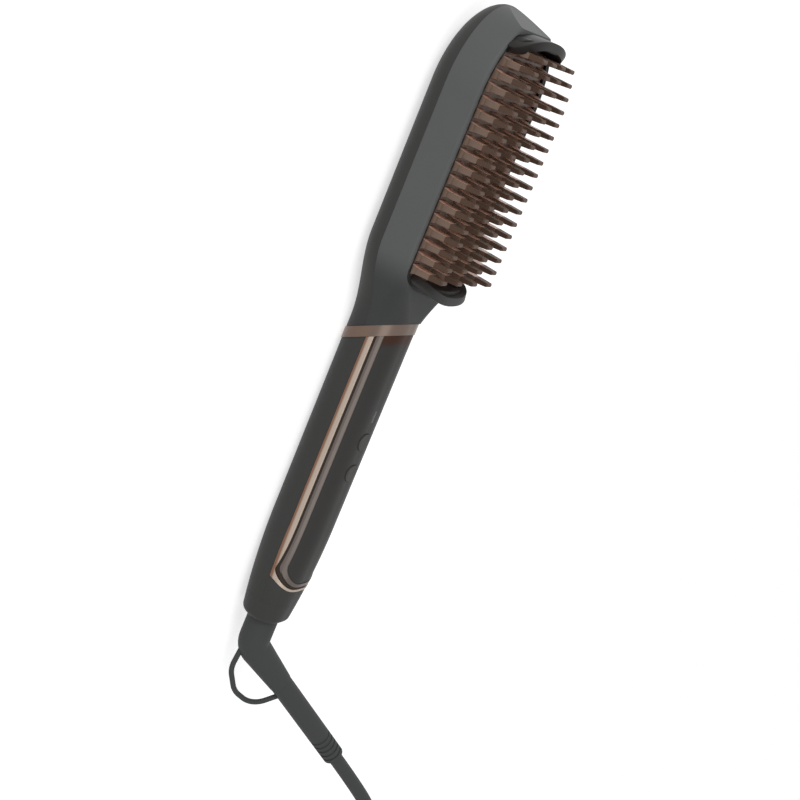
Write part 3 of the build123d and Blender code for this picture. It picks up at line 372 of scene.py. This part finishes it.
def tint_beyond(material, way, start, end, shade):
    """Second colour where the place along a direction passes from start to end."""
    if start > end:
        way = tuple(-part for part in way)
        start, end = -start, -end
    effect = material.node_tree.nodes.new("ShaderNodeGroup")
    effect.node_tree = place_along
    effect.inputs["Direction"].default_value = way
    effect.inputs["Start"].default_value = start * MM
    effect.inputs["End"].default_value = end * MM
    second_colour(material, effect.outputs["Mask"], shade)


def paint_facing_shade(material, shade):
    """Painted shade: a darker second colour on the faces that look across the brush, while the
    flanks keep the lighter colour as painted light.
    """
    effect = material.node_tree.nodes.new("ShaderNodeGroup")
    effect.node_tree = painted_facing_shade
    effect.inputs["Start"].default_value = 0.4
    effect.inputs["End"].default_value = 0.8
    second_colour(material, effect.outputs["Mask"], shade)


# Middle of the U frame's rounded corner, and the inlay's inner and outer distance from it
U_CORNER_X = 5.8
U_CORNER_Y = 115.4
INLAY_REACH = (7.3, 7.7)


def paint_inner_bead_shade(material, shade):
    """Painted shade: a dimmer second colour on the frame's inner bead, which catches less highlight:
    nearer than the inlay to the U's own middle.
    """
    tree = material.node_tree
    coords = tree.nodes.new("ShaderNodeTexCoord")
    last = coords.outputs["Object"]
    for operation, value in (
        ("ABSOLUTE", (0, 0, 0)),
        ("SUBTRACT", (U_CORNER_X * MM, U_CORNER_Y * MM, 1.0)),
        ("MAXIMUM", (0, 0, 0)),
        ("LENGTH", (0, 0, 0)),
    ):
        step = tree.nodes.new("ShaderNodeVectorMath")
        step.operation = operation
        step.inputs[1].default_value = value
        tree.links.new(last, step.inputs[0])
        last = step.outputs["Value"] if operation == "LENGTH" else step.outputs["Vector"]
    mask = tree.nodes.new("ShaderNodeMapRange")
    mask.interpolation_type = "SMOOTHSTEP"
    mask.inputs["From Min"].default_value = INLAY_REACH[0] * MM
    mask.inputs["From Max"].default_value = INLAY_REACH[1] * MM
    mask.inputs["To Min"].default_value = 1.0
    mask.inputs["To Max"].default_value = 0.0
    tree.links.new(last, mask.inputs["Value"])
    second_colour(material, mask.outputs["Result"], shade)


# Each finish: its colour, roughness and other settings, and the nodes that have it
FINISHES = {
    "charcoal_plastic": ((64, 64, 63), 0.5, {}, ("rear_shell", "handle_front_shell", "end_cap")),
    "grey_plastic": ((96, 97, 97), 0.5, {}, ("front_housing",)),
    "black_plastic": (
        (40, 38, 37), 0.42, {},
        ("plate_bezel", "swivel_retainer", "contact_block", "swivel_stem"),
    ),
    "glossy_black_plastic": (
        (26, 24, 23), 0.18, {"depth": 0.04},
        ("power_plunger", "temperature_plunger", "tact_switches", "triac"),
    ),
    # Cool tips: a lighter brown on the flanks as painted light, with painted shade on their ends
    # below
    "tip_plastic": ((106, 86, 75), 0.5, {"depth": 0.04}, ("cool_tips",)),
    # Bronze lightened on the teeth's flanks as painted light against the neighbours' shadow; painted
    # shade on the ends and the plate's floor below
    "bronze_coating": (
        (214, 176, 156), 0.42,
        {"metal": 0.15, "shine": 0.5, "grain": 2500.0, "depth": 0.2},
        ("heating_plate",),
    ),
    "copper_band": (
        (112, 97, 88), 0.3, {"metal": 0.8, "shine": 0.5, "depth": 0.05}, ("accent_ring",),
    ),
    # Cream copper: a painted highlight on the trim's beads, with painted shade on their lower sides
    # and the inner bead below
    "copper_beads_painted_highlight": (
        (182, 166, 152), 0.3, {"metal": 0.6, "shine": 0.5, "depth": 0.05}, ("trim_frame",),
    ),
    "dark_bronze_line": ((58, 49, 42), 0.4, {"metal": 0.3}, ("trim_inlay",)),
    "panel_plastic": ((58, 57, 56), 0.45, {}, ("control_panel",)),
    "button_plastic": ((74, 73, 72), 0.5, {}, ("power_button", "temperature_button")),
    "cord_rubber": (
        (72, 74, 73), 0.6, {"grain": 900.0},
        ("swivel_elbow", "cord_boot", "hanging_loop", "plug_body"),
    ),
    "plain_steel": (
        (170, 170, 166), 0.35, {"metal": 1.0},
        ("head_screws", "board_screws", "heater_element", "heater_clamp", "thermal_fuse"),
    ),
    "contact_brass": ((200, 165, 90), 0.3, {"metal": 1.0}, ("slip_rings", "contact_springs")),
    "pin_nickel": ((205, 203, 198), 0.2, {"metal": 1.0, "depth": 0.03}, ("plug_pins",)),
    "mica_sheet": ((196, 180, 140), 0.5, {"vary": 0.15}, ("insulation_sheet",)),
    "circuit_board_lacquer": ((30, 92, 50), 0.3, {"vary": 0.1}, ("circuit_board",)),
    "lead_sleeve": (
        (198, 198, 190), 0.7, {"grain": 3000.0, "depth": 0.4}, ("heater_leads", "mains_leads"),
    ),
    "sensor_bead": ((150, 80, 50), 0.25, {"depth": 0.02}, ("temperature_sensor",)),
    "capacitor_sleeve": ((30, 40, 92), 0.3, {}, ("capacitor",)),
    "smoked_lens": ((96, 96, 96), 0.2, {"depth": 0.02}, ("indicator_lens",)),
    "light_chip": ((235, 235, 220), 0.3, {"depth": 0.02}, ("indicator_lights",)),
    "tie_weave": ((34, 34, 34), 0.85, {"grain": 2200.0, "depth": 0.6}, ("coil_tie",)),
}

# Directions and places of the second colours, which paint shade: on the neck, the plate's floor
# between the teeth, the band's lower side and the beads' lower sides
ALONG_HANDLE = (0.0, 1.0, 0.0)
UPWARDS = (0.0, 0.0, 1.0)
NECK_PAINTED_SHADE = (38.0, 22.0)
PLATE_FLOOR_PAINTED_SHADE = (28.2, 27.1)
RING_SIDE_PAINTED_SHADE = (19.0, 15.0)
BEAD_SIDE_PAINTED_SHADE = (17.6, 16.4)
# The copper band leans back; the panel and the inlay just below it get a painted shadow and copper
# reflection of the band
RING_LEAN = radians(27)
RING_Y = -1.4
HANDLE_AXIS_Z = 13.25
ACROSS_RING = (0.0, cos(RING_LEAN), -sin(RING_LEAN))
RING_PLACE = RING_Y * cos(RING_LEAN) - HANDLE_AXIS_Z * sin(RING_LEAN)
UNDER_RING_PAINTED_SHADE = (RING_PLACE - 8.0, RING_PLACE - 4.5)


def dress_nodes():
    """Give each carried-over node its finish, and each finish its second colours, which are painted
    shade and painted reflection.
    """
    finishes = {}
    for name, (shade, roughness, settings, pieces) in FINISHES.items():
        finishes[name] = finish_of(name, colour(*shade), roughness, **settings)
        for piece in pieces:
            for slot in nodes[piece].material_slots:
                slot.material = finishes[name]
    # Painted shade: the grey housing darkens towards the neck, where it turns away from the key lamp
    tint_beyond(finishes["grey_plastic"], ALONG_HANDLE, *NECK_PAINTED_SHADE, (66, 67, 67))
    # Painted shading by facing: ends of the cool tips and the teeth darker than their flanks
    paint_facing_shade(finishes["tip_plastic"], (86, 66, 54))
    paint_facing_shade(finishes["bronze_coating"], (112, 90, 76))
    # Painted shade on the plate's floor between the teeth
    tint_beyond(finishes["bronze_coating"], UPWARDS, *PLATE_FLOOR_PAINTED_SHADE, (120, 98, 86))
    # Painted shade on the copper band's lower side
    tint_beyond(finishes["copper_band"], UPWARDS, *RING_SIDE_PAINTED_SHADE, (109, 90, 79))
    # Painted shade on the beads' lower sides, below their painted highlight
    tint_beyond(finishes["copper_beads_painted_highlight"], UPWARDS, *BEAD_SIDE_PAINTED_SHADE, (126, 92, 72))
    # Painted shade on the dimmer inner bead
    paint_inner_bead_shade(finishes["copper_beads_painted_highlight"], (100, 91, 86))
    # Painted shadow and copper reflection of the band on the panel and inlay just below it
    tint_beyond(finishes["panel_plastic"], ACROSS_RING, *UNDER_RING_PAINTED_SHADE, (64, 40, 30))
    tint_beyond(finishes["dark_bronze_line"], ACROSS_RING, *UNDER_RING_PAINTED_SHADE, (60, 40, 32))
    return finishes


finishes = dress_nodes()
cord.data.materials.append(finishes["cord_rubber"])
for name, (*shape, finish) in GUARDS.items():
    make_guard(name, *shape).data.materials.append(finishes[finish])

# Studio
FLOOR_GLOW = 0.6
FLOOR_SIZE = 1.6
FLOOR_MIDDLE = (0, -0.15, 0)
SKY_LIGHT = 0.42
WHITE = (1.0, 1.0, 1.0, 1.0)
FLOOR_PALE = (0.93, 0.93, 0.93, 1.0)


def background_rays(tree):
    """Share of 1 for rays that show the background: the camera's, and those in gloss and glass."""
    seen = tree.nodes.new("ShaderNodeLightPath")
    last = seen.outputs["Is Camera Ray"]
    for name in ("Is Glossy Ray", "Is Transmission Ray"):
        either = tree.nodes.new("ShaderNodeMath")
        either.operation = "MAXIMUM"
        tree.links.new(last, either.inputs[0])
        tree.links.new(seen.outputs[name], either.inputs[1])
        last = either.outputs["Value"]
    return last


def make_floor():
    """Pale floor that keeps a soft shadow."""
    bpy.ops.object.select_all(action="DESELECT")
    bpy.ops.mesh.primitive_plane_add(size=FLOOR_SIZE, location=FLOOR_MIDDLE)
    floor = bpy.context.object
    floor.name = "studio_floor"
    material = bpy.data.materials.new("studio_floor")
    material.use_nodes = True
    tree = material.node_tree
    shader = tree.nodes["Principled BSDF"]
    glow = tree.nodes.new("ShaderNodeMath")
    glow.operation = "MULTIPLY"
    glow.inputs[1].default_value = FLOOR_GLOW
    tree.links.new(background_rays(tree), glow.inputs[0])
    tree.links.new(glow.outputs["Value"], shader.inputs["Emission Strength"])
    shader.inputs["Emission Color"].default_value = WHITE
    shader.inputs["Base Color"].default_value = FLOOR_PALE
    shader.inputs["Roughness"].default_value = 0.9
    shader.inputs["Specular IOR Level"].default_value = 0.1
    floor.data.materials.append(material)


def make_lamp(name, place, size, power):
    """Round soft lamp that looks at the frame's origin."""
    data = bpy.data.lights.new(name, "AREA")
    data.shape = "DISK"
    data.size = size
    data.energy = power
    light = bpy.data.objects.new(name, data)
    bpy.context.scene.collection.objects.link(light)
    light.location = place
    light.rotation_euler = (-Vector(place)).to_track_quat("-Z", "Y").to_euler()


def make_light():
    """White sky that lights at a plain level, and two lamps on the photograph's side."""
    world = bpy.data.worlds.new("studio")
    bpy.context.scene.world = world
    world.use_nodes = True
    tree = world.node_tree
    back = tree.nodes["Background"]
    back.inputs["Color"].default_value = WHITE
    strength = tree.nodes.new("ShaderNodeMapRange")
    strength.inputs["To Min"].default_value = SKY_LIGHT
    strength.inputs["To Max"].default_value = 1.0
    tree.links.new(background_rays(tree), strength.inputs["Value"])
    tree.links.new(strength.outputs["Result"], back.inputs["Strength"])
    make_lamp("key", (-0.9, 1.1, 0.9), 0.8, 9)
    make_lamp("fill", (-1.2, -0.6, 1.4), 1.2, 4)


make_floor()
make_light()
bpy.context.scene.view_settings.view_transform = "Standard"

bpy.context.view_layer.update()
